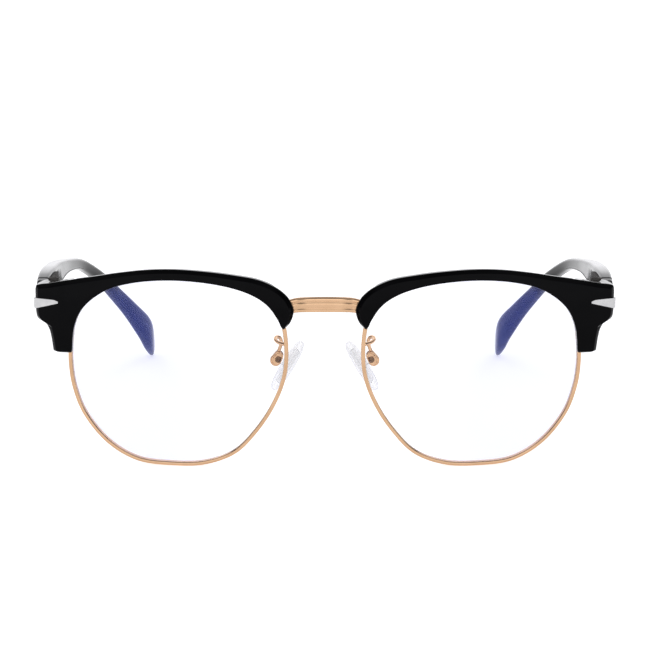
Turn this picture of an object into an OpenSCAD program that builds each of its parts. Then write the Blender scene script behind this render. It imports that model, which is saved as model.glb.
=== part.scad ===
// Half rim (browline) eyeglasses. Millimetres. The front faces -Y, the temples run to +Y,
// and the glasses stand open on Z = 0, on the two eyewires and the two temple tips.
// "Left" is the wearer's left, at +X. Right-hand parts mirror the left-hand ones.

/* [Eyewires and lenses] */
// Width of one eyewire, outside
rim_w = 53.9; // [51:0.1:56]
// Height of one eyewire, outside
rim_h = 48.3; // [45:0.1:50]
// Gap between the two eyewires
nose_gap_w = 17.8; // [15:0.1:20]
// Radius of the lens's front surface
base_radius = 125; // [110:1:180]
// Radial thickness of the eyewire
wire_w = 1.0; // [0.8:0.1:1.2]
// Thickness of the lens
lens_t = 1.9; // [1.7:0.1:2.2]

/* [Front] */
// Turn of each eye back towards its temple, degrees
wrap = 4.5; // [2:0.5:7]
// Lean of the front, top forward, degrees
tilt = 3; // [0:0.5:5]
// How far the brow bar stands in front of the lens
brow_front = 1.8; // [1.4:0.1:2.4]
// Width of the brow bar's bevel
brow_bevel = 0.9; // [0.5:0.1:1.2]

/* [Temples] */
// Depth of the endpiece's rear face behind the front
butt_y = 11.6; // [11:0.1:12.5]
// Radius of a hinge barrel
barrel_r = 1.25; // [1.1:0.05:1.3]
// Clearance between hinge screw and temple leaf
hinge_play = 0.05; // [0.02:0.01:0.08]

/* [Nose pads] */
// Length of a nose pad
pad_l = 14; // [12:0.5:15]
// Width of a nose pad
pad_w = 7.4; // [6:0.2:8]
// Flare of the pads, degrees from upright
pad_flare = 32; // [25:1:38]

/* [Hidden] */
$fn = 48;

// Colours
acetate = [0.04, 0.04, 0.045];
gold = [0.88, 0.68, 0.50];
silver = [0.80, 0.80, 0.82];
steel = [0.60, 0.60, 0.62];
clear = [0.90, 0.94, 1.0, 0.35];
silicone = [0.93, 0.93, 0.98, 0.6];

// Places: the front plane is seat_y from the origin, so that the origin is the middle of the footprint
seat_y = -66.68;
// The outlines are drawn for an eyewire 53.9 wide and 48.3 high, and scaled by these
wide = rim_w / 53.9;
tall = rim_h / 48.3;
eye_x = nose_gap_w / 2 + 26.65 * wide;
eye_y = -0.5;
eye_z = 23.2 * tall;
eps = 0.01;

// ---------- curves ----------
function blend(lo, hi, v) = let (t = min(1, max(0, (v - lo) / (hi - lo)))) t * t * (3 - 2 * t);
function mix(a, b, t) = a * (1 - t) + b * t;
function unit(v) = v / norm(v);
function cubic(a, b, c, d, t) =
    0.5 * (2 * b + (c - a) * t + (2 * a - 5 * b + 4 * c - d) * t * t + (3 * b - a - 3 * c + d) * t * t * t);
function closed_spline(p, per) = let (n = len(p))
    [for (i = [0 : n - 1], k = [0 : per - 1])
        cubic(p[(i + n - 1) % n], p[i], p[(i + 1) % n], p[(i + 2) % n], k / per)];
function open_spline(p, per) = let (n = len(p) - 1)
    [for (i = [0 : n * per]) let (s = min(floor(i / per), n - 1), t = i / per - s)
        cubic(p[max(s - 1, 0)], p[s], p[s + 1], p[min(s + 2, n)], t)];
function loop_normal(p, i) = let (n = len(p), d = unit(p[(i + 1) % n] - p[(i + n - 1) % n])) [d[1], -d[0]];
function chain_dir(p, i) = unit(p[min(i + 1, len(p) - 1)] - p[max(i - 1, 0)]);

// ---------- solids from rings of points ----------
module loft(rings) {
    n = len(rings);
    m = len(rings[0]);
    mid = function(r) [for (k = [0 : 2]) [for (p = r) p[k]] * [for (p = r) 1] / m];
    points = concat([for (r = rings) each r], [mid(rings[0]), mid(rings[n - 1])]);
    sides = [for (i = [0 : n - 2], j = [0 : m - 1])
        let (a = i * m + j, b = i * m + (j + 1) % m) each [[a, b, b + m], [a, b + m, a + m]]];
    ends = [for (j = [0 : m - 1]) let (k = (j + 1) % m, e = (n - 1) * m)
        each [[n * m, k, j], [n * m + 1, e + j, e + k]]];
    polyhedron(points, concat(sides, ends), convexity = 10);
}

// A sheet of stations, each a front chain and a back chain with the same number of points
module slab(fronts, backs) {
    n = len(fronts);
    m = len(fronts[0]);
    size = n * m;
    points = concat([for (f = fronts) each f], [for (b = backs) each b]);
    front = [for (i = [0 : n - 2], j = [0 : m - 2]) let (a = i * m + j)
        each [[a, a + m + 1, a + m], [a, a + 1, a + m + 1]]];
    back = [for (f = front) [f[2] + size, f[1] + size, f[0] + size]];
    edges = [for (i = [0 : n - 2]) let (a = i * m, b = a + m - 1)
        each [[a, a + m + size, a + size], [a, a + m, a + m + size],
              [b, b + m + size, b + m], [b, b + size, b + m + size]]];
    ends = [for (j = [0 : m - 2]) let (b = (n - 1) * m + j)
        each [[j, j + 1 + size, j + 1], [j, j + size, j + 1 + size],
              [b, b + 1 + size, b + size], [b, b + 1, b + 1 + size]]];
    polyhedron(points, concat(front, back, edges, ends), convexity = 10);
}

// ---------- the eye's own frame: x towards the temple, y back, z up, 0 at the lens's middle ----------
module seat() { translate([0, seat_y, 0]) children(); }
module eye() { translate([eye_x, eye_y, eye_z]) rotate([tilt, 0, 0]) rotate([0, 0, wrap]) children(); }
module other_side() { mirror([1, 0, 0]) children(); }
function sag(x, z) = base_radius - sqrt(base_radius * base_radius - x * x - z * z);
// y, in the eye's frame, of the plane that stands depth behind the front
function plane_y(x, z, depth) =
    (((depth - eye_y) + z * sin(tilt)) / cos(tilt) - x * sin(wrap)) / cos(wrap);

// Outer edge of the eyewire, from the rim lock down and round
rim_points = [for (p = [[27.0, 8.4], [27.3, 2.5], [26.5, -4.0], [23.9, -11.0], [18.3, -18.0],
    [11.0, -22.3], [2.5, -23.3], [-6.0, -22.9], [-13.5, -20.0], [-19.0, -14.3], [-23.3, -7.6],
    [-26.0, -0.5], [-26.6, 6.5], [-25.6, 13.4], [-22.5, 18.6], [-16.6, 22.2], [-8.7, 24.3],
    [0, 25.0], [8.7, 24.5], [16.9, 22.4], [23.3, 17.8], [26.2, 12.6]])
    [p[0] * wide, p[1] * tall]];
rim_steps = 4;
rim = closed_spline(rim_points, rim_steps);
rim_n = len(rim);
lens_back = lens_t - 0.15;
groove_y = lens_t / 2 - 0.1;
groove_r = wire_w - 0.4;

// A point of the rim's section: r inwards from the outer edge, y back from the lens's front
function rim_at(p, nrm, r, y) =
    let (x = p[0] - nrm[0] * r, z = p[1] - nrm[1] * r) [x, sag(x, z) + y, z];

module eyewire() {
    w = wire_w;
    section = [[0, 0.15], [0.25, -0.1], [w - 0.2, -0.1], [w, 0.1], [w, 0.4], [groove_r, groove_y],
        [w, 2 * groove_y - 0.4], [w, lens_back - 0.2], [w - 0.2, lens_back], [0.25, lens_back],
        [0, lens_back - 0.25]];
    // the wire is cut at the rim lock: its two ends stop just short of each other
    cut = 0.05;
    stops = concat([cut], [for (i = [1 : rim_n - 1]) i], [rim_n - cut]);
    rings = [for (s = stops) let (i = floor(s) % rim_n, k = (i + 1) % rim_n, t = s - floor(s))
        let (p = mix(rim[i], rim[k], t), q = unit(mix(loop_normal(rim, i), loop_normal(rim, k), t)))
        [for (c = section) rim_at(p, -q, c[0], c[1])]];
    loft([for (r = rings) [for (j = [len(r) - 1 : -1 : 0]) r[j]]]);
}

module lens() {
    play = 0.03;
    face_r = wire_w + play;
    edge = [[face_r, 0], [face_r, 0.4], [groove_r + play, groove_y], [face_r, 2 * groove_y - 0.4],
        [face_r, lens_t]];
    steps = [0.25, 0.5, 0.75];
    rows = concat([for (s = steps) [s, 0]], [for (e = edge) [1, e]], [for (s = [0.75, 0.5, 0.25]) [s, 1]]);
    rings = [for (row = rows) [for (i = [0 : rim_n - 1])
        let (q = -loop_normal(rim, i), full = row[0] == 1, r = full ? row[1][0] : face_r)
        let (p = (rim[i] - q * r) * row[0])
        [p[0], sag(p[0], p[1]) + (full ? row[1][1] : row[1] * lens_t), p[1]]]];
    loft([for (i = [len(rings) - 1 : -1 : 0]) rings[i]]);
}

// ---------- brow bar ----------
// Rungs from the nose tip to the foot of the leg: inner x, z, outer x, z, and how far the front drops
brow_rungs = [[-25.3, 11.8, -25.9, 11.8, 0.8], [-24.9, 12.6, -27.0, 13.1, 0.1],
    [-24.4, 13.8, -27.7, 14.7, 0], [-23.7, 15.0, -27.9, 16.3, 0], [-22.7, 16.5, -27.3, 18.0, 0],
    [-21.3, 18.0, -26.0, 19.9, 0], [-19.2, 19.5, -23.4, 21.9, 0], [-16.0, 21.0, -19.3, 23.7, 0],
    [-11.5, 22.3, -14.0, 24.75, 0], [-6, 23.2, -7.5, 25.6, 0], [0, 23.6, 0, 26.1, 0],
    [6, 23.4, 7, 25.9, 0], [11.5, 22.6, 14, 25.0, 0], [16.3, 21.2, 20.5, 23.8, 0],
    [20.2, 18.9, 26.5, 22.7, 0], [22.8, 16.5, 31.5, 21.6, 0], [24.2, 14.4, 34.7, 20.95, 0],
    [24.8, 13.0, 35.45, 20.2, 0], [25.2, 11.8, 35.45, 17.6, 0], [25.45, 10.8, 35.3, 14.4, 0],
    [25.6, 9.9, 34.75, 12.8, 0], [25.7, 9.0, 33.0, 12.0, 0], [25.8, 8.1, 31.9, 10.4, 0],
    [25.85, 7.1, 31.35, 8.2, 0], [25.9, 6.1, 31.05, 6.1, 0], [26.0, 5.4, 30.9, 5.2, 0.1],
    [26.3, 5.0, 30.55, 4.85, 0.7]];
brow_rows = [for (r = open_spline(brow_rungs, 3))
    [r[0] * wide, r[1] * tall, r[2] * wide, r[3] * tall, r[4]]];
lip_y = -0.15;
rebate = 1.6;
lock_pocket = 2.5;

function brow_front_y(p, drop) = sag(p[0], p[1]) - brow_front + drop;
function brow_lip_y(p) = sag(p[0], p[1]) + lip_y;
// Depth of the bar's outer wall: behind it the top slopes down
function brow_wall_y(p) = sag(p[0], p[1]) + mix(0.5, -0.1, blend(-10, 8, p[0]));
// The endpiece's rear edge is cut down a little in front of the hinge
function hinge_notch(p) =
    0.9 * blend(24.5, 27, p[0]) * (1 - blend(32.2, 33.4, p[0])) * blend(19, 20.5, p[1]);
function in_block(p) = blend(24.5, 27.2, p[0]) * blend(11.0, 13.3, p[1]);
function brow_back_y(p) = let (
    bar = sag(p[0], p[1]) + lens_back,
    full = mix(bar, plane_y(p[0], p[1], butt_y), in_block(p)))
    mix(brow_lip_y(p), full, blend(-23.5, -21.5, p[0]));

// Points across the bar, as distances in from its two edges along the rung
function brow_across(i, edges) = let (
    row = brow_rows[i], inner = [row[0], row[1]], outer = [row[2], row[3]],
    w = norm(outer - inner), a = (outer - inner) / w,
    inners = [for (r = brow_rows) [r[0], r[1]]], outers = [for (r = brow_rows) [r[2], r[3]]],
    ti = chain_dir(inners, i), to = chain_dir(outers, i),
    si = max(abs(a[0] * ti[1] - a[1] * ti[0]), 0.45), so = max(abs(a[0] * to[1] - a[1] * to[0]), 0.45))
    [for (e = edges) e[0] == "in" ? inner + a * min(e[1] / si, w * e[2])
        : e[0] == "out" ? outer - a * min(e[1] / so, w * e[2])
        : inner + a * w * e[1]];

module brow() {
    b = brow_bevel;
    n = len(brow_rows);
    fronts = [for (i = [0 : n - 1]) let (drop = brow_rows[i][4],
        pts = brow_across(i, [["in", 0, 0], ["in", 0.12, 0.05], ["in", 0.45, 0.2], ["at", 0.45],
            ["at", 0.6], ["out", b, 0.32], ["out", b / 2, 0.2], ["out", 0.1, 0.1], ["out", 0, 0]]),
        drops = [0.45, 0.15, 0, 0, 0, 0, b / 2, b, b + 0.25])
        [for (j = [0 : 8]) [pts[j][0], brow_front_y(pts[j], min(drop + drops[j], 1.3)), pts[j][1]]]];
    backs = [for (i = [0 : n - 1]) let (row = brow_rows[i],
        pocket = row[0] > 20 ? lock_pocket * blend(5.5, 6.1, row[1]) * (1 - blend(10.4, 11.0, row[1])) : 0,
        r = rebate + pocket, cap = 0.6 + 0.05 * pocket,
        notch = hinge_notch([row[2], row[3]]),
        pts = brow_across(i, [["in", 0, 0], ["in", r / 2, 0.3], ["in", r, cap],
            ["in", r + 0.05, cap + 0.02], ["at", cap + 0.08], ["at", cap + 0.12], ["out", 0.55 + notch, 0.24],
            ["out", notch + 0.2, 0.2], ["out", notch, 0.2]]))
        [for (j = [0 : 8]) let (p = pts[j],
            wall = min(mix(brow_wall_y(p), brow_back_y(p) - 0.2, in_block(p)), brow_back_y(p)),
            y = j < 3 ? brow_lip_y(p) : j < 7 ? brow_back_y(p)
                : mix(wall, brow_back_y(p), j == 7 ? 0.4 : 0))
            [p[0], max(y, brow_lip_y(p)), p[1]]]];
    slab(fronts, backs);
}

// ---------- silver inlay: an arrow that wraps round the outer corner ----------
module inlay() {
    side_x = 35.7 * wide;
    sunk = 0.8;
    proud = 0.25;
    arrow = [[29.3, 17.0, 17.5], [30.3, 16.75, 17.85], [32.8, 16.05, 17.95], [side_x - 0.5, 15.4, 18.0]];
    face = [for (r = arrow) let (y = sag(r[0], r[1]) - brow_front)
        [[r[0], y - proud, r[1]], [r[0], y - proud, r[2]], [r[0], y + sunk, r[2]], [r[0], y + sunk, r[1]]]];
    corner_y = sag(side_x, 17) - brow_front + 0.25;
    corner = [[[side_x, corner_y, 15.35], [side_x, corner_y, 18.0],
        [side_x - sunk, corner_y + sunk + 0.3, 18.0], [side_x - sunk, corner_y + sunk + 0.3, 15.35]]];
    sides = [for (r = [[3.0, 15.9, 17.8], [5.0, 16.7, 17.3]]) let (y = corner_y + r[0])
        [[side_x, y, r[1]], [side_x, y, r[2]], [side_x - sunk, y, r[2]], [side_x - sunk, y, r[1]]]];
    loft(concat(face, corner, sides));
}

// ---------- bridge ----------
module bridge_bar() {
    half = 10.9;
    // section, as fractions of the height, with how far each point stands back from the front
    face = [[-0.5, 0.45], [-0.42, 0.12], [-0.32, 0.05], [-0.22, 0.3], [-0.12, 0.05], [0, 0], [0.1, 0.05],
        [0.2, 0.32], [0.3, 0.05], [0.42, 0.12], [0.5, 0.5]];
    back = [[0.5, 1.4], [0.38, 1.8], [-0.38, 1.8], [-0.5, 1.4]];
    rings = [for (i = [-12 : 12]) let (x = half * i / 12, u = x / half,
        high = mix(3.65, 3.3, u * u), mid = 40.82 - 1.6 * pow(abs(u), 3),
        y = -0.45 + 1.2 * blend(0, 0.45, u * u))
        [for (c = concat(face, back)) [x, y + c[1], mid + c[0] * high]]];
    loft(rings);
}

// ---------- rim lock: two blocks on the eyewire's ends and the screw that closes them ----------
lock_x = 28.15;
lock_y = 1.3 + sag(28, 8.4);
lock_r = 0.5;
module lock_block(z0, z1, bore_r) {
    difference() {
        union() {
            translate([lock_x, lock_y, z0]) cylinder(h = z1 - z0, r = 1.05);
            translate([26.6, lock_y - 0.85, z0]) cube([lock_x - 26.6, 1.7, z1 - z0]);
        }
        translate([lock_x, lock_y, z0 - 1]) cylinder(h = z1 - z0 + 2, r = bore_r);
    }
}
module lock_screw() {
    translate([lock_x, lock_y, 6.75]) cylinder(h = 3.3, r = lock_r);
    difference() {
        translate([lock_x, lock_y, 10.0]) cylinder(h = 0.5, r = 0.85);
        translate([lock_x - 1, lock_y - 0.1, 10.3]) cube([2, 0.2, 1]);
    }
}

// ---------- tabs and screws that hold the brow bar ----------
// Each entry: x, z of the tab's foot on the eyewire, and of its screw in the bar
tab_places = [[-19.3, 20.2, -20.3, 21.4], [16.9, 21.6, 18.5, 22.6]];
tab_t = 0.6;
module tabs() {
    for (t = tab_places) {
        y = sag(t[2], t[3]) + lens_back + 0.2;
        difference() {
            union() {
                hull() {
                    translate([t[0], y, t[1]]) rotate([-90, 0, 0]) cylinder(h = tab_t, r = 0.9);
                    translate([t[2], y, t[3]]) rotate([-90, 0, 0]) cylinder(h = tab_t, r = 0.9);
                }
                // foot on the eyewire
                translate([t[0], y - 0.6, t[1]]) rotate([-90, 0, 0]) cylinder(h = 0.7, r = 0.4);
            }
            translate([t[2], y - 1, t[3]]) rotate([-90, 0, 0]) cylinder(h = 3, r = 0.5);
        }
    }
}
module tab_screws() {
    for (t = tab_places) {
        y = sag(t[2], t[3]) + lens_back + 0.2;
        translate([t[2], y - 2, t[3]]) rotate([-90, 0, 0]) cylinder(h = 2 + tab_t + 0.2, r = 0.45);
        difference() {
            translate([t[2], y + tab_t, t[3]]) rotate([-90, 0, 0]) cylinder(h = 0.4, r = 0.8);
            translate([t[2] - 1, y + tab_t + 0.2, t[3] - 0.1]) cube([2, 1, 0.2]);
        }
    }
}

// ---------- nose pads: frame with x away from the nose, y back, z up the pad ----------
pad_at = [9.2, 9.0, 23.9];
pad_turn = 15;
pad_t = 2.2;
box_x = 3.2;
box_z = 0.3;
box_depth = 1.4;
ear_t = 0.5;
ear_gap = 1.3;
pad_screw_r = 0.45;
pad_pivot_x = box_x - 0.35;
module pad_frame() { translate(pad_at) rotate([0, -pad_flare, 0]) children(); }

// A rounded cup with a slot for the pad's lug and a bore for the screw
module pad_box() {
    pad_frame() difference() {
        translate([box_x, 0, box_z]) rotate([90, 0, 0]) hull() {
            translate([0, -0.55, 0]) cylinder(h = ear_gap + 2 * ear_t, r = box_depth, center = true);
            translate([0, 0.7, 0]) cylinder(h = ear_gap + 2 * ear_t, r = box_depth - 0.2, center = true);
        }
        translate([box_x - 2, -ear_gap / 2, box_z - 3]) cube([2 + box_depth - ear_t, ear_gap, 6]);
        translate([pad_pivot_x, 0, box_z]) rotate([90, 0, 0])
            cylinder(h = 6, r = pad_screw_r + 0.01, center = true);
    }
}

module pad_screw() {
    head_y = -(ear_gap / 2 + ear_t);
    pad_frame() translate([pad_pivot_x, 0, box_z]) {
        rotate([90, 0, 0]) cylinder(h = ear_gap + 2 * ear_t, r = pad_screw_r, center = true);
        difference() {
            translate([0, head_y, 0]) rotate([90, 0, 0]) cylinder(h = 0.3, r = 0.75);
            translate([-1, head_y - 1.15, -0.1]) cube([2, 1, 0.2]);
        }
    }
}

module pad_core() {
    lug_t = ear_gap - 0.2;
    pad_frame() {
        difference() {
            union() {
                translate([pad_pivot_x, 0, box_z]) rotate([90, 0, 0])
                    cylinder(h = lug_t, r = 0.85, center = true);
                translate([0.3, -lug_t / 2, box_z - 0.7]) cube([pad_pivot_x - 0.3, lug_t, 1.4]);
            }
            translate([pad_pivot_x, 0, box_z]) rotate([90, 0, 0])
                cylinder(h = 6, r = pad_screw_r + 0.04, center = true);
        }
        rotate([0, 0, -pad_turn]) translate([-0.1, 0, 0]) intersection() {
            cube([0.6, 3.4, 9.4], center = true);
            rotate([0, 90, 0]) cylinder(h = 2, r = 4.8, center = true);
        }
    }
}

module nose_pad() {
    steps = 14;
    around = 16;
    pad_frame() rotate([0, 0, -pad_turn])
        loft([for (i = [0 : steps]) let (a = -84 + 168 * i / steps, z = pad_l / 2 * sin(a), c = cos(a))
            [for (j = [0 : around - 1]) let (b = -360 * j / around, w = pow(c, 0.75))
                [pad_t / 2 * pow(c, 0.55) * cos(b), pad_w / 2 * w * sin(b), z]]]);
}

// The arm's wire: from behind the eyewire, out, back round a bend and down to the box
arm_points = [[9.0, 2.0, 30.6], [9.9, 2.6, 30.65], [11.2, 4.2, 30.7], [12.0, 6.0, 31.0], [11.9, 7.5, 31.35],
    [11.1, 8.5, 31.1], [10.7, 8.9, 30.1], [10.9, 9.05, 28.8], [11.55, 9.0, 27.05]];
arm_r = 0.45;
module pad_arm() {
    path = open_spline(arm_points, 3);
    loft([for (i = [0 : len(path) - 1]) let (
        d = chain_dir(path, i), side = unit(cross(d, [0.3, 1, 0.2])), up = cross(d, side))
        [for (j = [0 : 7]) let (a = -45 * j) path[i] + arm_r * (side * cos(a) + up * sin(a))]]);
}

// ---------- hinges: five barrels on an upright axis ----------
hinge_x = 66.6;
hinge_y = butt_y + 1.6;
hinge_z = 37.9;
hinge_h = 7.5;
barrel_gap = 0.06;
barrel_h = (hinge_h - 4 * barrel_gap) / 5;
hinge_screw_r = 0.6;
leaf_t = 0.8;
temple_face = 67.95;
leaf_end = hinge_y + 10.5;
function barrel_z(i) = hinge_z + i * (barrel_h + barrel_gap);

module hinge_front() {
    difference() {
        union() {
            translate([hinge_x - 3.7, butt_y - leaf_t, hinge_z])
                cube([3.7 + barrel_r, leaf_t, hinge_h - 0.8]);
            for (i = [0, 2, 4]) translate([hinge_x, 0, barrel_z(i)]) {
                translate([0, hinge_y, 0]) cylinder(h = barrel_h, r = barrel_r);
                translate([-barrel_r, butt_y - eps, 0]) cube([2 * barrel_r, hinge_y - butt_y, barrel_h]);
            }
        }
        translate([hinge_x, hinge_y, hinge_z - 1]) cylinder(h = hinge_h + 2, r = hinge_screw_r + 0.01);
        translate([hinge_x, hinge_y, hinge_z + hinge_h - 0.5]) cylinder(h = 1, r = 0.95);
    }
}

module hinge_temple() {
    difference() {
        union() {
            translate([temple_face - leaf_t, hinge_y + 1.5, hinge_z + 0.4])
                cube([leaf_t, leaf_end - hinge_y - 1.5, hinge_h - 0.8]);
            for (i = [1, 3]) translate([hinge_x, hinge_y, barrel_z(i)]) {
                cylinder(h = barrel_h, r = barrel_r);
                cube([barrel_r, 1.6, barrel_h]);
            }
        }
        translate([hinge_x, hinge_y, hinge_z - 1])
            cylinder(h = hinge_h + 2, r = hinge_screw_r + hinge_play);
    }
}

module hinge_screw() {
    translate([hinge_x, hinge_y, hinge_z + 0.1]) cylinder(h = hinge_h - 0.3, r = hinge_screw_r);
    difference() {
        translate([hinge_x, hinge_y, hinge_z + hinge_h - 0.48]) cylinder(h = 0.46, r = 0.9);
        translate([hinge_x - 1, hinge_y - 0.12, hinge_z + hinge_h - 0.2]) cube([2, 0.24, 1]);
    }
}

module hinge_rivets() {
    for (z = [1.9, 5.6]) translate([hinge_x - 2.6, butt_y, hinge_z + z]) rotate([90, 0, 0]) {
        translate([0, 0, -0.2]) cylinder(h = 3.2, r = 0.55);
        translate([0, 0, -0.35]) cylinder(h = 0.35, r = 0.8);
    }
}

module temple_rivets() {
    for (y = [4.6, 8.2])
        translate([temple_face - leaf_t, hinge_y + y, hinge_z + hinge_h / 2]) rotate([0, 90, 0]) {
            cylinder(h = 2.8, r = 0.55);
            translate([0, 0, -0.3]) cylinder(h = 0.3, r = 0.9);
        }
}

// ---------- temples ----------
// Along the arm: y behind the front, x and z of the middle, height and thickness across the arm
temple_rows = [[11.75, 69.4, 40.35, 8.5, 2.9], [18, 69.65, 41.3, 8.7, 3.4], [25, 69.8, 41.8, 8.0, 3.8],
    [33, 70.0, 42.1, 6.6, 3.7], [41, 70.0, 42.15, 5.3, 3.6], [55, 69.45, 41.4, 3.6, 3.4],
    [70, 67.6, 39.1, 3.1, 3.3], [84, 64.0, 33.2, 3.3, 3.4], [95, 60.7, 26.4, 3.9, 3.6],
    [106, 57.5, 19.4, 5.0, 4.1], [117, 54.8, 12.2, 6.9, 4.4], [126, 54.2, 6.2, 6.4, 3.5],
    [135, 54.1, 0.2, 4.4, 2.6]];
temple_per = 4;
temple_line = open_spline(temple_rows, temple_per);
function row_xyz(r) = [r[1], r[0], r[2]];
function temple_dir(i) = i < 2 ? [0, 1, 0]
    : chain_dir([for (r = temple_line) row_xyz(r)], i);
// Rounded oblong, half sizes 1: a superellipse that is squarer at the hinge than at the tip
function oblong(a, power) =
    [sign(cos(a)) * pow(abs(cos(a)), power), sign(sin(a)) * pow(abs(sin(a)), power)];

module temple() {
    n = len(temple_line) - 1;
    around = 16;
    loft([for (i = [0 : n]) let (r = temple_line[i], d = temple_dir(i),
        side = unit(cross(d, [0, 0, 1])), up = cross(side, d),
        to_tip = (n - i) / (1.4 * temple_per), close = to_tip < 1 ? sqrt(1 - pow(1 - to_tip, 2)) : 1,
        power = mix(0.3, 0.75, blend(35, 80, r[0])), end = max(close, 0.12))
        [for (j = [0 : around - 1]) let (c = oblong(360 * (j + 0.5) / around, power))
            row_xyz(r) + side * c[0] * r[4] / 2 * end + up * c[1] * r[3] / 2 * end]]);
}

module temple_core() {
    line = [for (i = [9 : 3 : 45]) temple_line[i]];
    loft([for (i = [0 : len(line) - 1]) let (
        d = chain_dir([for (r = line) row_xyz(r)], i),
        side = unit(cross(d, [0, 0, 1])), up = cross(side, d))
        [for (j = [0 : 7]) let (a = 45 * j) row_xyz(line[i]) + side * 0.4 * cos(a) + up * 0.8 * sin(a)]]);
}

// ---------- left-hand sub-parts in place ----------
module left(name) {
    if (name == "brow") color(acetate) eye() brow();
    if (name == "eyewire") color(gold) eye() eyewire();
    if (name == "lens") color(clear) eye() lens();
    if (name == "inlay") color(silver) eye() inlay();
    if (name == "brow_tabs") color(gold) eye() tabs();
    if (name == "brow_screws") color(steel) eye() tab_screws();
    if (name == "rim_lock_upper") color(gold) eye() lock_block(8.55, 10.0, lock_r + 0.05);
    if (name == "rim_lock_lower") color(gold) eye() lock_block(6.8, 8.25, lock_r + 0.01);
    if (name == "rim_lock_screw") color(steel) eye() lock_screw();
    if (name == "pad_arm") color(gold) pad_arm();
    if (name == "pad_box") color(gold) pad_box();
    if (name == "pad_screw") color(gold) pad_screw();
    if (name == "pad_core") color(steel) pad_core();
    if (name == "nose_pad") color(silicone) nose_pad();
    if (name == "hinge_front") color(steel) hinge_front();
    if (name == "hinge_rivets") color(steel) hinge_rivets();
    if (name == "hinge_temple") color(steel) hinge_temple();
    if (name == "temple_rivets") color(steel) temple_rivets();
    if (name == "hinge_screw") color(steel) hinge_screw();
    if (name == "temple") color(acetate) temple();
    if (name == "temple_core") color(steel) temple_core();
}
module on_left(name) { seat() left(name); }
module on_right(name) { seat() other_side() left(name); }

on_left("brow");  // brow_left
on_right("brow");  // brow_right
on_left("eyewire");  // eyewire_left
on_right("eyewire");  // eyewire_right
on_left("lens");  // lens_left
on_right("lens");  // lens_right
seat() color(gold) bridge_bar();  // bridge
on_left("inlay");  // inlay_left
on_right("inlay");  // inlay_right
on_left("brow_tabs");  // brow_tabs_left
on_right("brow_tabs");  // brow_tabs_right
on_left("brow_screws");  // brow_screws_left
on_right("brow_screws");  // brow_screws_right
on_left("rim_lock_upper");  // rim_lock_upper_left
on_right("rim_lock_upper");  // rim_lock_upper_right
on_left("rim_lock_lower");  // rim_lock_lower_left
on_right("rim_lock_lower");  // rim_lock_lower_right
on_left("rim_lock_screw");  // rim_lock_screw_left
on_right("rim_lock_screw");  // rim_lock_screw_right
on_left("pad_arm");  // pad_arm_left
on_right("pad_arm");  // pad_arm_right
on_left("pad_box");  // pad_box_left
on_right("pad_box");  // pad_box_right
on_left("pad_screw");  // pad_screw_left
on_right("pad_screw");  // pad_screw_right
on_left("pad_core");  // pad_core_left
on_right("pad_core");  // pad_core_right
on_left("nose_pad");  // nose_pad_left
on_right("nose_pad");  // nose_pad_right
on_left("hinge_front");  // hinge_front_left
on_right("hinge_front");  // hinge_front_right
on_left("hinge_rivets");  // hinge_rivets_left
on_right("hinge_rivets");  // hinge_rivets_right
on_left("hinge_temple");  // hinge_temple_left
on_right("hinge_temple");  // hinge_temple_right
on_left("temple_rivets");  // temple_rivets_left
on_right("temple_rivets");  // temple_rivets_right
on_left("hinge_screw");  // hinge_screw_left
on_right("hinge_screw");  // hinge_screw_right
on_left("temple");  // temple_left
on_right("temple");  // temple_right
on_left("temple_core");  // temple_core_left
on_right("temple_core");  // temple_core_right
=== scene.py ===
"""Half rim (browline) eyeglasses: the visible pieces, materials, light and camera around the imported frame.

Lengths are millimetres until make_object() turns them into metres. "left" is the wearer's left, at +X.
Left-hand pieces are drawn, and both() mirrors them. An eye's own frame has x towards the temple, y back and
z up, from a point near the rim's middle. A pad's own frame has z along the pad and x through it, away from
the nose.
"""
import math

import bmesh
import bpy
import numpy as np
from mathutils import Matrix, Vector


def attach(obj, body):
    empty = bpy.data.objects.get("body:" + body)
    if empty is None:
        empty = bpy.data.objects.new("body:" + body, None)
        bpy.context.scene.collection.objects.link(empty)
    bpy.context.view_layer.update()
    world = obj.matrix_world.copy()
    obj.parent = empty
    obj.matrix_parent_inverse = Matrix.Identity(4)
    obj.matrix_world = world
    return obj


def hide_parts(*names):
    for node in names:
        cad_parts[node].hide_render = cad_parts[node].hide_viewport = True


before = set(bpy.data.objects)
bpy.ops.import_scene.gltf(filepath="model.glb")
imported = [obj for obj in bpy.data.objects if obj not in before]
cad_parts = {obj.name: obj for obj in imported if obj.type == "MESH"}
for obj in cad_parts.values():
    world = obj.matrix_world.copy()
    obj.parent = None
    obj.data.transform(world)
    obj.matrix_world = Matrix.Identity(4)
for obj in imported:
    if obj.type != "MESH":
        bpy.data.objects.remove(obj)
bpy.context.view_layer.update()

# ---------- sizes shared with the CAD model ----------
# y of the front plane, which depths behind the front are counted from. The origin is the footprint's middle
SEAT_Y = -66.68
# where the left eye's frame stands, its turn about z and its lean about x, and the radius of a lens's front
NOSE_GAP_W = 17.8
EYE_Y, EYE_Z = -0.5, 23.2
EYE = Vector((NOSE_GAP_W / 2 + 26.65, SEAT_Y + EYE_Y, EYE_Z))
WRAP, TILT = math.radians(4.5), math.radians(3.0)
BASE_RADIUS = 125.0
WIRE_W = 1.0
LENS_T = 1.9
LENS_PLAY = 0.03
# depth, behind the lens's front, of the eyewire's back
WIRE_BACK = LENS_T - 0.15
# how far the brow bar stands before the lens's front, and its bevel
BROW_FRONT, BROW_BEVEL = 1.8, 0.9
# width of the bar's lip over the eyewire, how much more it is at the rim lock, and depth of the lip's back
REBATE, LOCK_POCKET = 1.6, 2.5
LIP_Y = -0.15
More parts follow.
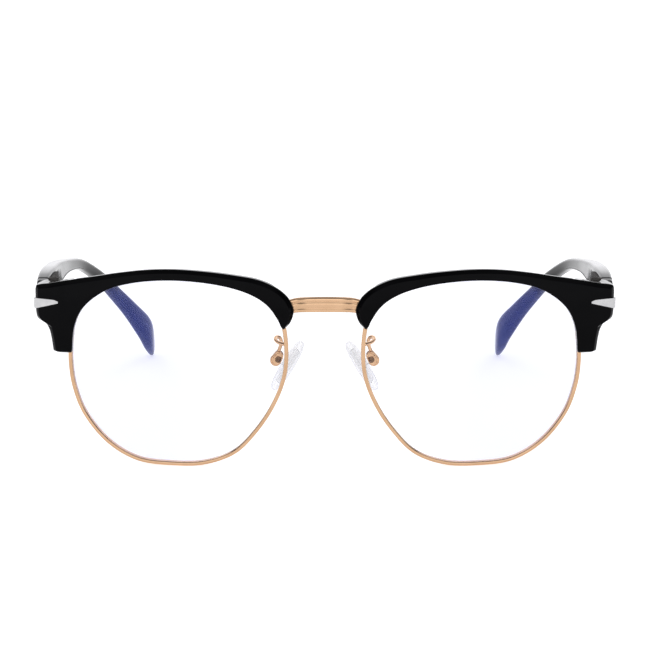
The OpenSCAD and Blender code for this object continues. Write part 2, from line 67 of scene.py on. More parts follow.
# depth of the endpiece's butt behind the front plane
BUTT_Y = 11.6
PAD_AT = Vector((9.2, SEAT_Y + 9.0, 23.9))
PAD_FLARE, PAD_TURN = math.radians(32), math.radians(15)
PAD_L, PAD_W, PAD_T = 14.0, 7.4, 2.2
SIDES = (("left", 1), ("right", -1))


# ---------- curves ----------
def smooth(lo, hi, v):
    """0 up to lo and 1 from hi, with a smooth rise between."""
    t = np.clip((np.asarray(v, float) - lo) / (hi - lo), 0, 1)
    return t * t * (3 - 2 * t)


def mix(a, b, t):
    return a * (1 - t) + b * t


def cubic(a, b, c, d, t):
    """From b at t = 0 to c at t = 1, on a curve that comes from a and goes on to d."""
    return 0.5 * (2 * b + (c - a) * t + (2 * a - 5 * b + 4 * c - d) * t**2 + (3 * b - a - 3 * c + d) * t**3)


def spline(points, per, closed=False):
    """A smooth curve through every point, with per steps between each pair."""
    p = np.array(points, float)
    n = len(p)
    out = []
    for i in range(n if closed else n - 1):
        ids = [(i + k) % n if closed else min(max(i + k, 0), n - 1) for k in (-1, 0, 1, 2)]
        out += [cubic(*p[ids], k / per) for k in range(per)]
    if not closed:
        out.append(p[-1])
    return np.array(out)


def unit(v):
    v = np.asarray(v, float)
    return v / np.linalg.norm(v, axis=-1, keepdims=True)


def chain_dirs(p):
    """The direction of an open chain of points at each of them."""
    return unit(np.vstack([p[1] - p[0], p[2:] - p[:-2], p[-1] - p[-2]]))


def sag(x, z):
    """How far a lens's front surface falls back at x, z in the eye's frame."""
    return BASE_RADIUS - np.sqrt(BASE_RADIUS**2 - x * x - z * z)


def dished(xz, depth):
    """Points at x, z in the eye's frame, depth behind the lens's front surface."""
    return np.stack([xz[:, 0], sag(xz[:, 0], xz[:, 1]) + depth, xz[:, 1]], 1)


def plane_y(x, z, depth):
    """y, in the eye's frame, of the plane that stands depth behind the front."""
    return ((depth - EYE_Y + z * math.sin(TILT)) / math.cos(TILT) - x * math.sin(WRAP)) / math.cos(WRAP)


def rounded(corners, radii, runs, arc=4):
    """A closed outline with its corners rounded. runs counts the steps from each corner to the next."""
    c = np.array(corners, float)
    n = len(c)
    starts, ends = [], []
    for i in range(n):
        back, on = c[i - 1] - c[i], c[(i + 1) % n] - c[i]
        back_l, on_l = np.linalg.norm(back), np.linalg.norm(on)
        r = min(radii[i], 0.45 * back_l, 0.45 * on_l)
        starts.append(c[i] + back / max(back_l, 1e-9) * r)
        ends.append(c[i] + on / max(on_l, 1e-9) * r)
    out = []
    for i in range(n):
        for k in range(arc + 1):
            t = k / arc
            out.append(starts[i] * (1 - t) ** 2 + 2 * c[i] * t * (1 - t) + ends[i] * t * t)
        following = starts[(i + 1) % n]
        out += [mix(ends[i], following, k / runs[i]) for k in range(1, runs[i])]
    return np.array(out)


# ---------- meshes ----------
def eye_to_world(p):
    """From the left eye's frame to the object's."""
    turn = Matrix.Rotation(TILT, 3, "X") @ Matrix.Rotation(WRAP, 3, "Z")
    return np.asarray(p, float) @ np.array(turn).T + np.array(EYE)


def pad_to_world(p, turned=True):
    """From the left nose pad's frame to the object's. The cup has the pad's flare but isn't turned."""
    m = Matrix.Rotation(-PAD_FLARE, 3, "Y")
    if turned:
        m = m @ Matrix.Rotation(-PAD_TURN, 3, "Z")
    return np.asarray(p, float) @ np.array(m).T + np.array(PAD_AT)


def loft(rings):
    """Points and faces of a closed skin over rings that all have the same number of points."""
    n, m = len(rings), len(rings[0])
    verts = np.concatenate(rings)
    faces = [(i * m + j, i * m + (j + 1) % m, (i + 1) * m + (j + 1) % m, (i + 1) * m + j)
             for i in range(n - 1) for j in range(m)]
    faces += [tuple(range(m))[::-1], tuple(range((n - 1) * m, n * m))]
    return verts, faces


def tube(path, radii, around):
    """Rings round a path, with one radius for each of its points."""
    d = chain_dirs(path)
    side = unit(np.cross(d[0], (0.3, 1, 0.2)))
    rings = []
    for k in range(len(path)):
        side = unit(side - d[k] * side.dot(d[k]))
        up = np.cross(d[k], side)
        rings.append(np.array([path[k] + radii[k] * (side * math.cos(a) + up * math.sin(a))
                               for a in np.linspace(0, 2 * math.pi, around, endpoint=False)]))
    return rings


def merged(shapes):
    """One set of points and faces from several."""
    faces, first = [], 0
    for verts, own in shapes:
        faces += [tuple(i + first for i in f) for f in own]
        first += len(verts)
    return np.concatenate([verts for verts, own in shapes]), faces


def shade_smooth(obj):
    """Smooth shading that keeps flat faces flat, after any modifier that is on the object already."""
    obj.data.polygons.foreach_set("use_smooth", [True] * len(obj.data.polygons))
    obj.modifiers.new("normals", "WEIGHTED_NORMAL").keep_sharp = True


def make_object(name, verts, faces, materials, face_slots=None):
    """A smooth-shaded object from points in millimetres. face_slots numbers each face's material."""
    mesh = bpy.data.meshes.new(name)
    mesh.from_pydata([tuple(v) for v in np.asarray(verts) * 0.001], [], faces)
    mesh.validate()
    bm = bmesh.new()
    bm.from_mesh(mesh)
    bmesh.ops.recalc_face_normals(bm, faces=bm.faces)
    bm.to_mesh(mesh)
    bm.free()
    for m in materials:
        mesh.materials.append(m)
    if face_slots is not None:
        mesh.polygons.foreach_set("material_index", face_slots)
    obj = bpy.data.objects.new(name, mesh)
    bpy.context.scene.collection.objects.link(obj)
    shade_smooth(obj)
    return obj


def claim(obj, body, node):
    """Rides obj on its body, and hides the CAD node that it stands for."""
    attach(obj, body)
    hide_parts(node)


def body_name(stem, side):
    return "front" if stem == "front" else f"{stem}_{side}_body"


def both(stem, shape, materials, body, face_slots=None):
    """The left piece, drawn in the object's frame, and its mirror image."""
    verts, faces = shape
    for side, sign in SIDES:
        obj = make_object(f"{stem}_skin_{side}", verts * (sign, 1, 1), faces, materials, face_slots)
        claim(obj, body_name(body, side), f"{stem}_{side}")


def refined(node, material, body, width):
    """A copy of a CAD node with rounded edges of this width, which stands for it."""
    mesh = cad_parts[node].data.copy()
    bm = bmesh.new()
    bm.from_mesh(mesh)
    bmesh.ops.remove_doubles(bm, verts=bm.verts, dist=1e-6)
    bmesh.ops.dissolve_limit(bm, angle_limit=math.radians(1), verts=bm.verts, edges=bm.edges)
    bm.to_mesh(mesh)
    bm.free()
    mesh.materials.clear()
    mesh.materials.append(material)
    obj = bpy.data.objects.new(node + "_skin", mesh)
    bpy.context.scene.collection.objects.link(obj)
    bevel = obj.modifiers.new("edges", "BEVEL")
    bevel.width = width * 0.001
    bevel.segments = 3
    bevel.limit_method = "ANGLE"
    bevel.angle_limit = math.radians(30)
    bevel.use_clamp_overlap = True
    shade_smooth(obj)
    claim(obj, body, node)


# ---------- materials ----------
class Shader:
    """A material with one Principled shader, and short ways to add nodes to it."""

    # places of a Mix node's colour sockets, which share their names with its other sockets
    MIX_A, MIX_B, MIX_OUT = 6, 7, 2

    def __init__(self, name, **sockets):
        self.material = bpy.data.materials.new(name)
        self.material.use_nodes = True
        self.nodes = self.material.node_tree.nodes
        self.links = self.material.node_tree.links
        self.principled = self.nodes["Principled BSDF"]
        for key, value in sockets.items():
            self.principled.inputs[key.replace("_", " ")].default_value = value
        self.coords = self.nodes.new("ShaderNodeTexCoord").outputs["Object"]

    def noise(self, scale, detail=4, rough=0.55, stretch=None):
        """Fine noise over the object. A stretch below 1 draws it out along that axis."""
        source = self.coords
        if stretch:
            mapping = self.nodes.new("ShaderNodeMapping")
            mapping.inputs["Scale"].default_value = stretch
            self.links.new(source, mapping.inputs["Vector"])
            source = mapping.outputs["Vector"]
        n = self.nodes.new("ShaderNodeTexNoise")
        n.inputs["Scale"].default_value = scale
        n.inputs["Detail"].default_value = detail
        n.inputs["Roughness"].default_value = rough
        self.links.new(source, n.inputs["Vector"])
        return n.outputs["Fac"]

    def grazing(self):
        """0 where the surface faces the viewer, 1 at its rim."""
        n = self.nodes.new("ShaderNodeLayerWeight")
        n.inputs["Blend"].default_value = 0.5
        return n.outputs["Facing"]

    def math(self, operation, a, b=None):
        m = self.nodes.new("ShaderNodeMath")
        m.operation = operation
        self.links.new(a, m.inputs[0])
        if b is not None:
            self.links.new(b, m.inputs[1])
        return m.outputs[0]

    def remap(self, value, lo, hi, from_lo=0.3, from_hi=0.7):
        """lo at from_lo and hi at from_hi. Noise lies mostly between 0.3 and 0.7."""
        m = self.nodes.new("ShaderNodeMapRange")
        m.inputs["From Min"].default_value = from_lo
        m.inputs["From Max"].default_value = from_hi
        m.inputs["To Min"].default_value = lo
        m.inputs["To Max"].default_value = hi
        self.links.new(value, m.inputs["Value"])
        return m.outputs["Result"]

    def along(self, axis, start, end, lo, hi):
        """lo up to start and hi from end, in millimetres along Y, or out to both sides along X."""
        split = self.nodes.new("ShaderNodeSeparateXYZ")
        self.links.new(self.coords, split.inputs[0])
        at = split.outputs[axis]
        if axis == "X":
            at = self.math("ABSOLUTE", at)
        return self.remap(at, lo, hi, start * 0.001, end * 0.001)

    def mottled(self, scale, a, b, detail=4, rough=0.55):
        """The base colour wanders between a and b."""
        m = self.nodes.new("ShaderNodeMix")
        m.data_type = "RGBA"
        m.inputs[self.MIX_A].default_value = (*a, 1)
        m.inputs[self.MIX_B].default_value = (*b, 1)
        self.links.new(self.remap(self.noise(scale, detail, rough), 0, 1), m.inputs["Factor"])
        self.drive("Base Color", m.outputs[self.MIX_OUT])

    def drive(self, socket, source):
        self.links.new(source, self.principled.inputs[socket])

    def bump(self, height, strength, distance):
        b = self.nodes.new("ShaderNodeBump")
        b.inputs["Strength"].default_value = strength
        b.inputs["Distance"].default_value = distance * 0.001
        self.links.new(height, b.inputs["Height"])
        self.drive("Normal", b.outputs["Normal"])


def acetate_material():
    """Polished black. Its shine is painted by place: more on the temples than the front and most at the
    hinge, a painted highlight, and hardly any at the tips, painted shade.
    """
    s = Shader("acetate_black", IOR=1.49)
    front = s.math("MULTIPLY", s.remap(s.grazing(), 0.04, 1.0, 0.6, 0.9), s.along("Y", -20, 25, 1, 0))
    # painted highlight and painted shade: the temples' shine is raised near the hinge and all but taken away
    # at the tips
    temple = s.math("MULTIPLY", s.along("Y", -60, -57, 0, 1), s.along("Y", -10, 30, 0.30, 0.03))
    temple = s.math("MULTIPLY", temple, s.along("Y", -53, -47, 2.6, 1.0))
    s.drive("Specular IOR Level", s.math("MAXIMUM", temple, front))
    s.mottled(60, (0.0012, 0.0012, 0.0015), (0.0028, 0.0028, 0.0033))
    s.drive("Roughness", s.remap(s.noise(900, 6, 0.7), 0.05, 0.12))
    s.bump(s.noise(420, 3), 0.08, 0.02)
    return s.material


def gold_material(name, shade=1.0):
    """Rose gold plate. shade makes a darker or lighter copy, which is painted shade or painted light on the
    pieces that get it.
    """
    s = Shader(name, Metallic=1.0)
    s.mottled(180, [c * shade for c in (0.55, 0.345, 0.202)], [c * shade for c in (0.625, 0.405, 0.247)])
    s.drive("Roughness", s.remap(s.noise(1500, 6, 0.7), 0.12, 0.24))
    s.bump(s.noise(2600, 2), 0.12, 0.01)
    return s.material


def metal_material(name, low, high, rough, stretch, rim=1.0):
    """Brushed metal. stretch gives the grain's direction, and rim how much shines at grazing angles."""
    s = Shader(name, Metallic=1.0, Specular_Tint=(rim, rim, rim, 1))
    s.mottled(240, low, high)
    grain = s.noise(1200, 6, 0.75, stretch)
    s.drive("Roughness", s.remap(grain, *rough))
    s.bump(grain, 0.15, 0.012)
    return s.material


def lens_material():
    """A faint blue film for the coating, which is clear towards the nose. Its blue over dark things behind is
    a painted reflection.
    """
    s = Shader("lens_coated", Roughness=0.03, IOR=1.5,
               Specular_IOR_Level=0.3, Specular_Tint=(0.45, 0.5, 1, 1))
    s.mottled(25, (0.16, 0.22, 0.92), (0.20, 0.26, 0.98), 3)
    # painted reflection: the film is nearly clear by the nose and strongest towards the temple
    s.drive("Alpha", s.along("X", 18, 34, 0.008, 0.094))
    s.bump(s.noise(12, 1), 0.02, 0.02)
    return s.material


def lens_edge_material():
    """The ground edge, a little frosted. Its dark grey is painted shade, for the dark line that internal
    reflection draws along the edge.
    """
    s = Shader("lens_edge", IOR=1.5, Alpha=0.12)
    s.mottled(900, (0.05, 0.05, 0.07), (0.11, 0.11, 0.14), rough=0.6)
    s.drive("Roughness", s.remap(s.noise(2500), 0.35, 0.6))
    return s.material


def clear_material(name, low, high, thin, rim, start, rough):
    """A soft clear solid. Its opacity is thin face on, and rises from start on to rim at its edge."""
    s = Shader(name, IOR=1.41, Specular_IOR_Level=0.5)
    s.mottled(300, low, high, 3)
    s.drive("Roughness", s.remap(s.noise(400, 3), *rough))
    s.drive("Alpha", s.remap(s.grazing(), thin, rim, start, 0.98))
    s.bump(s.noise(140, 2), 0.04, 0.03)
    return s.material


def floor_material():
    """A matt white that gives some light itself."""
    s = Shader("studio_floor", Roughness=0.9, Specular_IOR_Level=0.0,
               Emission_Color=(1, 1, 1, 1), Emission_Strength=0.62)
    s.mottled(3, (0.93, 0.935, 0.95), (0.94, 0.945, 0.955), 2)
    return s.material


ACETATE = acetate_material()
GOLD = gold_material("rose_gold")
# painted light: the pad arms and cups get the rose gold a little lighter than the rims
GOLD_SMALL_LIT = gold_material("rose_gold_small_painted_light", 1.05)
# painted shade: the pad screw gets the rose gold at a third of its brightness, for the shadow it sits in
GOLD_PAINTED_SHADE = gold_material("rose_gold_painted_shade", 0.3)
SILVER = metal_material("silver_trim", (0.43, 0.43, 0.44), (0.58, 0.575, 0.57), (0.16, 0.30), (0.2, 0.2, 3))
STEEL = metal_material("satin_steel", (0.50, 0.50, 0.52), (0.66, 0.66, 0.67), (0.24, 0.42), (1, 1, 0.15))
# painted shade: the hinge's steel is nearly black and dull at grazing angles, for the shadow inside the hinge
HINGE_STEEL_SHADED = metal_material("hinge_steel_painted_shade", (0.05, 0.047, 0.045), (0.10, 0.095, 0.09),
                             (0.22, 0.40), (1, 1, 0.15), rim=0.3)
LENS = lens_material()
LENS_EDGE = lens_edge_material()
SILICONE = clear_material("silicone_clear", (0.70, 0.70, 0.77), (0.78, 0.78, 0.85),
                          0.17, 0.80, 0.45, (0.08, 0.2))
PAD_CORE = clear_material("pad_core_clear", (0.12, 0.12, 0.13), (0.18, 0.18, 0.20),
                          0.04, 0.9, 0.60, (0.2, 0.35))

# ---------- eyewires ----------
# x and z of the outer edge in the eye's frame, from the rim lock down and round
RIM_POINTS = [(27.0, 8.4), (27.3, 2.5), (26.5, -4.0), (23.9, -11.0), (18.3, -18.0), (11.0, -22.3),
              (2.5, -23.3), (-6.0, -22.9), (-13.5, -20.0), (-19.0, -14.3), (-23.3, -7.6), (-26.0, -0.5),
              (-26.6, 6.5), (-25.6, 13.4), (-22.5, 18.6), (-16.6, 22.2), (-8.7, 24.3), (0, 25.0),
              (8.7, 24.5), (16.9, 22.4), (23.3, 17.8), (26.2, 12.6)]
# share of a step that the closing gap takes off each end
RIM_SPLIT = 0.0375


def rim_curve():
    """The eyewire's outer edge and its inward normals."""
    p = spline(RIM_POINTS, 12, closed=True)
    d = unit(np.roll(p, -1, 0) - np.roll(p, 1, 0))
    return p, np.stack([d[:, 1], -d[:, 0]], 1)


RIM, INWARD = rim_curve()


def eyewire_shape():
    """A domed front, a flat inner wall and a rounded back, swept from one side of the gap to the other."""
    dome = [(0, 0.32), (0.06, 0.1), (0.22, -0.05), (0.5, -0.1), (0.78, -0.05), (0.94, 0.1), (WIRE_W, 0.32)]
    dome = spline(dome, 3)
    back = [(WIRE_W, 0.4), (WIRE_W, WIRE_BACK), (0, WIRE_BACK)]
    back = rounded(back, [0.04, 0.3, 0.4], [4, 3, 4], arc=5)
    section = np.vstack([dome, back])
    around = [dished(RIM + INWARD * r, y) for r, y in section]
    rings = list(np.stack(around, 1))
    rings.append(rings[0])
    first = mix(rings[0], rings[1], RIM_SPLIT)
    rings[-1] = mix(rings[-1], rings[-2], RIM_SPLIT)
    rings[0] = first
    verts, faces = loft(rings)
    return eye_to_world(verts), faces


# ---------- lenses ----------
def lens_shape():
    """Dished faces and the ground edge between them. The third value gives each face's material."""
    edge_r = WIRE_W + LENS_PLAY
    chamfer, chamfer_y = 0.12, 0.06
    shares = [0.02] + [k / 14 for k in range(1, 14)]
    discs = [(RIM + INWARD * edge_r) * share for share in shares]
    profile = [(edge_r + chamfer, 0), (edge_r, chamfer_y),
               (edge_r, LENS_T - chamfer_y), (edge_r + chamfer, LENS_T)]
    front = [dished(xz, 0) for xz in discs]
    edge = [dished(RIM + INWARD * r, y) for r, y in profile]
    back = [dished(xz, LENS_T) for xz in discs[::-1]]
    verts, faces = loft(front + edge + back)
    first = len(front) * len(RIM)
    last = first + (len(edge) - 2) * len(RIM)
    return eye_to_world(verts), faces, [int(first <= k < last) for k in range(len(faces))]


# ---------- brow bars ----------
# Rungs from the nose tip to the foot of the leg: inner x, z, outer x, z, and the front's setback
RUNGS = [(-25.3, 11.8, -25.9, 11.8, 0.8), (-24.9, 12.6, -27.0, 13.1, 0.1), (-24.4, 13.8, -27.7, 14.7, 0),
         (-23.7, 15.0, -27.9, 16.3, 0), (-22.7, 16.5, -27.3, 18.0, 0), (-21.3, 18.0, -26.0, 19.9, 0),
         (-19.2, 19.5, -23.4, 21.9, 0), (-16.0, 21.0, -19.3, 23.7, 0), (-11.5, 22.3, -14.0, 24.75, 0),
         (-6, 23.2, -7.5, 25.6, 0), (0, 23.6, 0, 26.1, 0), (6, 23.4, 7, 25.9, 0), (11.5, 22.6, 14, 25.0, 0),
         (16.3, 21.2, 20.5, 23.8, 0), (20.2, 18.9, 26.5, 22.7, 0), (22.8, 16.5, 31.5, 21.6, 0),
         (24.2, 14.4, 34.7, 20.95, 0), (24.8, 13.0, 35.45, 20.2, 0), (25.2, 11.8, 35.45, 17.6, 0),
         (25.45, 10.8, 35.3, 14.4, 0), (25.6, 9.9, 34.75, 12.8, 0), (25.7, 9.0, 33.0, 12.0, 0),
         (25.8, 8.1, 31.9, 10.4, 0), (25.85, 7.1, 31.35, 8.2, 0), (25.9, 6.1, 31.05, 6.1, 0),
         (26.0, 5.4, 30.9, 5.2, 0.1), (26.3, 5.0, 30.55, 4.85, 0.7)]
# how much the notch in front of the hinge takes off, and how far in from the wall the back begins
NOTCH_CUT, BACK_INSET = 0.9, 0.55


def in_block(p):
    """0 along the bar and the leg, 1 in the endpiece block."""
    return smooth(24.5, 27.2, p[0]) * smooth(11.0, 13.3, p[1])


def in_lock_pocket(p):
    """1 in the part of the leg that is hollowed for the rim lock."""
    return smooth(5.5, 6.1, p[1]) * (1 - smooth(10.4, 11.0, p[1])) if p[0] > 20 else 0.0


def in_hinge_notch(p):
    """1 where the endpiece's rear edge is cut down in front of the hinge."""
    return smooth(24.5, 27, p[0]) * (1 - smooth(32.2, 33.4, p[0])) * smooth(19, 20.5, p[1])


def brow_back(p):
    """Depth of the bar's back behind the lens's front: level with the eyewire, or at the block's butt."""
    full = mix(WIRE_BACK, plane_y(p[0], p[1], BUTT_Y) - sag(*p), in_block(p))
    return mix(LIP_Y, full, smooth(-23.5, -21.5, p[0]))


def brow_section(inner, outer, drop, lean_in, lean_out):
    """The bar's section at one rung, as distances from the inner edge and depths behind the lens's front.

    lean_in and lean_out are the sines of the angles at which the rung meets the two edges.
    """
    width = np.linalg.norm(outer - inner)
    step_on = (outer - inner) / width
    pocket = LOCK_POCKET * in_lock_pocket(inner)
    notch = NOTCH_CUT * in_hinge_notch(outer)
    face = min(-BROW_FRONT + drop, -0.5)
    s_step = min((REBATE + pocket) / lean_in, width * (0.6 + 0.05 * pocket))
    s_bevel = width - min(BROW_BEVEL / lean_out, width * 0.32)
    s_notch = width - min(notch / lean_out, width * 0.2)
    s_back = width - min((BACK_INSET + notch) / lean_out, width * 0.24)
    # the outer wall ends close to the lens's front, or just short of the back in the block
    at_notch = inner + step_on * s_notch
    wall = mix(0.5, -0.1, smooth(-10, 8, at_notch[0]))
    wall = mix(wall, brow_back(at_notch) - 0.2, in_block(at_notch))
    wall = max(min(wall, brow_back(at_notch)), LIP_Y)
    bevel_end = min(face + BROW_BEVEL, wall - 0.05)
    corners = [(0, face), (s_bevel, face), (width, bevel_end), (s_notch, wall),
               (s_back, brow_back(inner + step_on * s_back)), (s_step, brow_back(inner + step_on * s_step)),
               (s_step, LIP_Y), (0, LIP_Y)]
    return rounded(corners, [0.4, 0.1, 0.2, 0.25, 0.3, 0.15, 0.1, 0.15], [7, 2, 8, 1, 3, 1, 2, 1])


def brow_shape():
    """The bar, the endpiece block and its leg, as one skin over the rungs."""
    rows = spline(RUNGS, 12)
    inner, outer = rows[:, 0:2], rows[:, 2:4]
    rung = unit(outer - inner)

    def lean(edge):
        d = chain_dirs(edge)
        return np.maximum(np.abs(rung[:, 0] * d[:, 1] - rung[:, 1] * d[:, 0]), 0.45)

    lean_in, lean_out = lean(inner), lean(outer)
    rings = []
    for i in range(len(rows)):
        section = brow_section(inner[i], outer[i], rows[i, 4], lean_in[i], lean_out[i])
        rings.append(dished(inner[i] + rung[i] * section[:, :1], section[:, 1]))
    verts, faces = loft(rings)
    return eye_to_world(verts), faces


# ---------- bridge ----------
BRIDGE_HALF = 10.9
# height over the floor in the middle, and how far the ends fall
BRIDGE_Z, BRIDGE_FALL = 40.82, 1.6
# the bar's own height in the middle and at the ends
BRIDGE_H, BRIDGE_END_H = 3.65, 3.3
# depth of the face behind the front in the middle, and how much further back the ends are
BRIDGE_Y, BRIDGE_SETBACK = -0.45, 1.2
# the section with its three ridges, as shares of the bar's height and depths behind its face
BRIDGE_FACE = [(-0.5, 0.45), (-0.42, 0.14), (-0.32, 0.06), (-0.22, 0.22), (-0.12, 0.06), (0, 0.02),
               (0.1, 0.06), (0.2, 0.24), (0.3, 0.06), (0.42, 0.14), (0.5, 0.5)]
BRIDGE_BACK = [(0.5, 1.4), (0.38, 1.8), (-0.38, 1.8), (-0.5, 1.4)]


def bridge_shape():
    """A bar that falls a little towards both ends, where it also gets lower and runs back into the rims."""
    profile = np.vstack([spline(BRIDGE_FACE, 6), spline(BRIDGE_BACK, 4)])
    rings = []
    for x in np.linspace(-BRIDGE_HALF, BRIDGE_HALF, 121):
        u = (x / BRIDGE_HALF) ** 2
        high, mid = mix(BRIDGE_H, BRIDGE_END_H, u), BRIDGE_Z - BRIDGE_FALL * u**1.5
        y = SEAT_Y + BRIDGE_Y + BRIDGE_SETBACK * smooth(0, 0.45, u)
        rings.append(np.array([(x, y + depth, mid + share * high) for share, depth in profile]))
    return loft(rings)


# ---------- temples ----------
# y behind the front, x and z of the middle, height and thickness
TEMPLE_ROWS = [(11.75, 69.4, 40.35, 8.5, 2.9), (18, 69.65, 41.3, 8.7, 3.4), (25, 69.8, 41.8, 8.0, 3.8),
               (33, 70.0, 42.1, 6.6, 3.7), (41, 70.0, 42.15, 5.3, 3.6), (55, 69.45, 41.4, 3.6, 3.4),
               (70, 67.6, 39.1, 3.1, 3.3), (84, 64.0, 33.2, 3.3, 3.4), (95, 60.7, 26.4, 3.9, 3.6),
               (106, 57.5, 19.4, 5.0, 4.1), (117, 54.8, 12.2, 6.9, 4.4), (126, 54.2, 6.2, 6.4, 3.5),
               (135, 54.1, 0.35, 4.4, 2.6)]
# steps between two rows, and the edge's radius at the butt
TEMPLE_PER = 14
BUTT_EDGE = 0.35
# length of the rounded tip in rows, and its last ring's share of the full size
TIP_ROUND, TIP_END = 1.4, 0.12


def oblong(height, thickness, power):
    """Points round a superellipse, as distances across and up."""
    steps = 56
    a = (np.arange(steps) + 0.5) * 2 * math.pi / steps
    across = np.copysign(np.abs(np.cos(a)) ** power, np.cos(a)) * thickness / 2
    return across, np.copysign(np.abs(np.sin(a)) ** power, np.sin(a)) * height / 2


def temple_shape():
    """A rounded oblong that is squarer at the hinge than at the tip, with a rounded butt and tip."""
    rows = spline(TEMPLE_ROWS, TEMPLE_PER)
    mid = rows[:, [1, 0, 2]] + (0, SEAT_Y, 0)
    dirs = chain_dirs(mid)
    dirs[:TEMPLE_PER // 2] = (0, 1, 0)
    n = len(rows) - 1

    def ring(i, shrink=0.0, push=0.0, scale=1.0):
        side = unit(np.cross(dirs[i], (0, 0, 1)))
        up = np.cross(side, dirs[i])
        power = mix(0.3, 0.75, float(smooth(35, 80, rows[i, 0])))
        across, upward = oblong(rows[i, 3] - 2 * shrink, rows[i, 4] - 2 * shrink, power)
        return mid[i] + (np.outer(across, side) + np.outer(upward, up)) * scale + dirs[i] * push

    rings = []
    for a in (math.pi / 2 * k / 5 for k in range(5)):
        rings.append(ring(0, BUTT_EDGE * (1 - math.sin(a)), BUTT_EDGE * (1 - math.cos(a))))
    for i in range(1, n + 1):
        to_tip = min((n - i) / (TIP_ROUND * TEMPLE_PER), 1.0)
        rings.append(ring(i, scale=max(math.sqrt(1 - (1 - to_tip) ** 2), TIP_END)))
    return loft(rings)


# ---------- nose pads and their arms ----------
def nose_pad_shape():
    """A flattened pebble, blunt in its thickness and rounder in its outline."""
    rings = []
    for a in np.radians(np.linspace(-84, 84, 45)):
        thick = PAD_T / 2 * math.cos(a) ** 0.55
        wide = PAD_W / 2 * math.cos(a) ** 0.75
        rings.append(np.array([(thick * math.cos(b), wide * math.sin(b), PAD_L / 2 * math.sin(a))
                               for b in np.linspace(0, 2 * math.pi, 40, endpoint=False)]))
    verts, faces = loft(rings)
    return pad_to_world(verts), faces


# The cup in the pad's frame: its middle, the heights and radii of its two rounds, and its two ears
BOX_X, BOX_Z = 3.2, 0.3
BOX_LOW, BOX_LOW_R = -0.55, 1.4
BOX_HIGH, BOX_HIGH_R = 0.7, 1.2
EAR_GAP, EAR_T = 1.3, 0.5
# distance in from an ear's outline, and height over its inner face, from its dished middle to its edge
EAR_PROFILE = [(0.62, EAR_T - 0.14), (0.46, EAR_T - 0.13), (0.36, EAR_T - 0.02), (0.24, EAR_T),
               (0.1, EAR_T - 0.04), (0.02, EAR_T - 0.14), (0, EAR_T - 0.26), (0, 0)]


def cup_outline(shrink, y):
    """The cup's outline: a large round below and a smaller one above, joined by tangents."""
    lean = math.asin((BOX_LOW_R - BOX_HIGH_R) / (BOX_HIGH - BOX_LOW))
    ring = []
    for mid, r, start, end, steps in ((BOX_HIGH, BOX_HIGH_R, lean, math.pi - lean, 18),
                                      (BOX_LOW, BOX_LOW_R, math.pi - lean, 2 * math.pi + lean, 26)):
        ring += [((r - shrink) * math.cos(a), y, mid + (r - shrink) * math.sin(a))
                 for a in np.linspace(start, end, steps, endpoint=False)]
    return np.array(ring) + (BOX_X, 0, BOX_Z)


def pad_box_shape():
    """Two dished ears and the wall that joins them on the side away from the pad."""
    ears = [loft([cup_outline(shrink, sign * (EAR_GAP / 2 + y)) for shrink, y in EAR_PROFILE])
            for sign in (1, -1)]
    outline = cup_outline(0, 0)
    wall = outline[outline[:, 0] >= BOX_X + BOX_LOW_R - EAR_T]
    wall = wall[np.argsort(wall[:, 2])]
    half = (0, EAR_GAP / 2 + EAR_T - 0.3, 0)
    verts, faces = merged(ears + [loft([wall - half, wall + half])])
    return pad_to_world(verts, turned=False), faces


# x, y behind the front and z along the wire, from the eyewire to the cup
ARM_POINTS = [(9.0, 2.0, 30.6), (9.9, 2.6, 30.65), (11.2, 4.2, 30.7), (12.0, 6.0, 31.0), (11.9, 7.5, 31.35),
              (11.1, 8.5, 31.1), (10.7, 8.9, 30.1), (10.9, 9.05, 28.8), (11.55, 9.0, 27.05)]
ARM_R = 0.45


def pad_arm_shape():
    """A bent wire that is thinner at its two ends."""
    path = spline(ARM_POINTS, 9) + (0, SEAT_Y, 0)
    radii = np.full(len(path), ARM_R)
    radii[:2] = (0.40, 0.44)
    radii[-1] = 0.38
    return loft(tube(path, radii, 20))


# ---------- build ----------
# CAD nodes that only get rounded edges and a material: stem, body, material, slot and edge width
REFINED = [("inlay", "front", SILVER, "silver", 0.16),
           ("pad_screw", "front", GOLD_PAINTED_SHADE, "gold", 0.05),
           ("pad_core", "pad", PAD_CORE, "pad_core", 0.25),
           ("brow_tabs", "front", GOLD, "gold", 0.08),
           ("rim_lock_upper", "front", GOLD, "gold", 0.08),
           ("rim_lock_lower", "front", GOLD, "gold", 0.08),
           ("brow_screws", "front", STEEL, "steel", 0.06),
           ("rim_lock_screw", "front", STEEL, "steel", 0.06),
           ("hinge_rivets", "front", STEEL, "steel", 0.06),
           ("hinge_screw", "front", HINGE_STEEL_SHADED, "steel", 0.06),
           ("hinge_front", "front", HINGE_STEEL_SHADED, "steel", 0.1),
           ("hinge_temple", "temple", HINGE_STEEL_SHADED, "steel", 0.1),
           ("temple_rivets", "temple", STEEL, "steel", 0.06)]


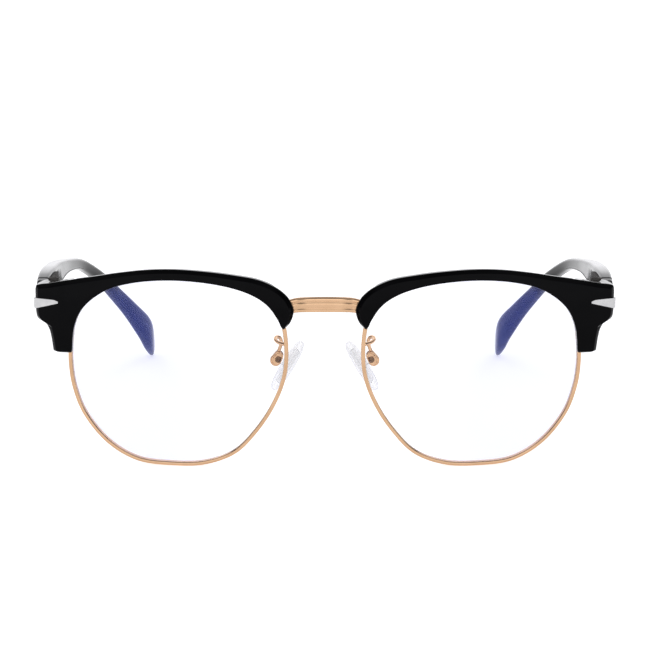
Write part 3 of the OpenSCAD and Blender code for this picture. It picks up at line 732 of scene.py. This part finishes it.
def build_glasses():
    """Every piece, with the temples' wire cores as they come from the CAD."""
    lens_verts, lens_faces, lens_slots = lens_shape()
    both("eyewire", eyewire_shape(), [GOLD], "front")
    both("lens", (lens_verts, lens_faces), [LENS, LENS_EDGE], "front", lens_slots)
    both("brow", brow_shape(), [ACETATE], "front")
    both("temple", temple_shape(), [ACETATE], "temple")
    both("nose_pad", nose_pad_shape(), [SILICONE], "pad")
    both("pad_arm", pad_arm_shape(), [GOLD_SMALL_LIT], "front")
    both("pad_box", pad_box_shape(), [GOLD_SMALL_LIT], "front")
    claim(make_object("bridge_skin", *bridge_shape(), [GOLD]), "front", "bridge")
    for side, _ in SIDES:
        for stem, body, material, slot, width in REFINED:
            refined(f"{stem}_{side}", material, body_name(body, side), width)
        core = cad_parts[f"temple_core_{side}"]
        core.data.materials.clear()
        core.data.materials.append(STEEL)


build_glasses()


# ---------- floor, light and camera ----------
def floor():
    """A square sheet, 18 m wide."""
    mesh = bpy.data.meshes.new("floor")
    half = 9.0
    corners = [(-half, -half, 0), (half, -half, 0), (half, half, 0), (-half, half, 0)]
    mesh.from_pydata(corners, [], [(0, 1, 2, 3)])
    mesh.materials.append(floor_material())
    obj = bpy.data.objects.new("floor", mesh)
    bpy.context.scene.collection.objects.link(obj)


# How bright the sky is at each height, from the horizon up
SKY = [(0.0, (1.5, 1.5, 1.54)), (0.35, (1.8, 1.8, 1.84)),
       (0.62, (1.15, 1.15, 1.17)), (1.0, (0.22, 0.22, 0.23))]


def sky():
    """Soft light from all round, with dark flags at both sides that give shiny edges their lines."""
    world = bpy.data.worlds.new("studio")
    bpy.context.scene.world = world
    world.use_nodes = True
    nodes, links = world.node_tree.nodes, world.node_tree.links
    background = nodes["Background"]
    split = nodes.new("ShaderNodeSeparateXYZ")
    links.new(nodes.new("ShaderNodeTexCoord").outputs["Generated"], split.inputs[0])

    ramp = nodes.new("ShaderNodeValToRGB")
    elements = ramp.color_ramp.elements
    elements[0].position, elements[1].position = SKY[0][0], SKY[-1][0]
    for place, _ in SKY[1:-1]:
        elements.new(place)
    for element, (_, colour) in zip(elements, SKY):
        element.color = (*colour, 1)
    links.new(split.outputs["Z"], ramp.inputs["Fac"])
    links.new(ramp.outputs["Color"], background.inputs["Color"])

    def math_node(operation, a, b=0.0):
        """The operation on a and b, each a number or another node's output."""
        node = nodes.new("ShaderNodeMath")
        node.operation = operation
        for value, socket in zip((a, b), node.inputs):
            if isinstance(value, float):
                socket.default_value = value
            else:
                links.new(value, socket)
        return node.outputs[0]

    def rise(source, lo, hi, most):
        """0 up to lo, and most from hi on."""
        node = nodes.new("ShaderNodeMapRange")
        node.interpolation_type = "SMOOTHSTEP"
        node.inputs["From Min"].default_value = lo
        node.inputs["From Max"].default_value = hi
        node.inputs["To Max"].default_value = most
        links.new(source, node.inputs["Value"])
        return node.outputs["Result"]

    sideways = rise(math_node("ABSOLUTE", split.outputs["X"]), 0.45, 0.75, 0.92)
    flags = math_node("MULTIPLY", sideways, rise(split.outputs["Z"], 0.05, 0.3, 1.0))
    links.new(math_node("SUBTRACT", 1.0, flags), background.inputs["Strength"])


def camera():
    """In front of the frame and above it, looking a little down."""
    distance, height, pitch = 450.0, 124.13, math.radians(11.2465)
    cam = bpy.data.cameras.new("camera")
    cam.sensor_width = 36.0
    cam.lens = 103.987
    cam.shift_x = 0.00795
    cam.clip_start, cam.clip_end = 0.01, 50
    obj = bpy.data.objects.new("camera", cam)
    bpy.context.scene.collection.objects.link(obj)
    obj.location = (0, (SEAT_Y - distance) * 0.001, height * 0.001)
    obj.rotation_euler = (math.pi / 2 - pitch, 0, 0)
    bpy.context.scene.camera = obj


floor()
sky()
camera()
bpy.context.scene.view_settings.view_transform = "Standard"
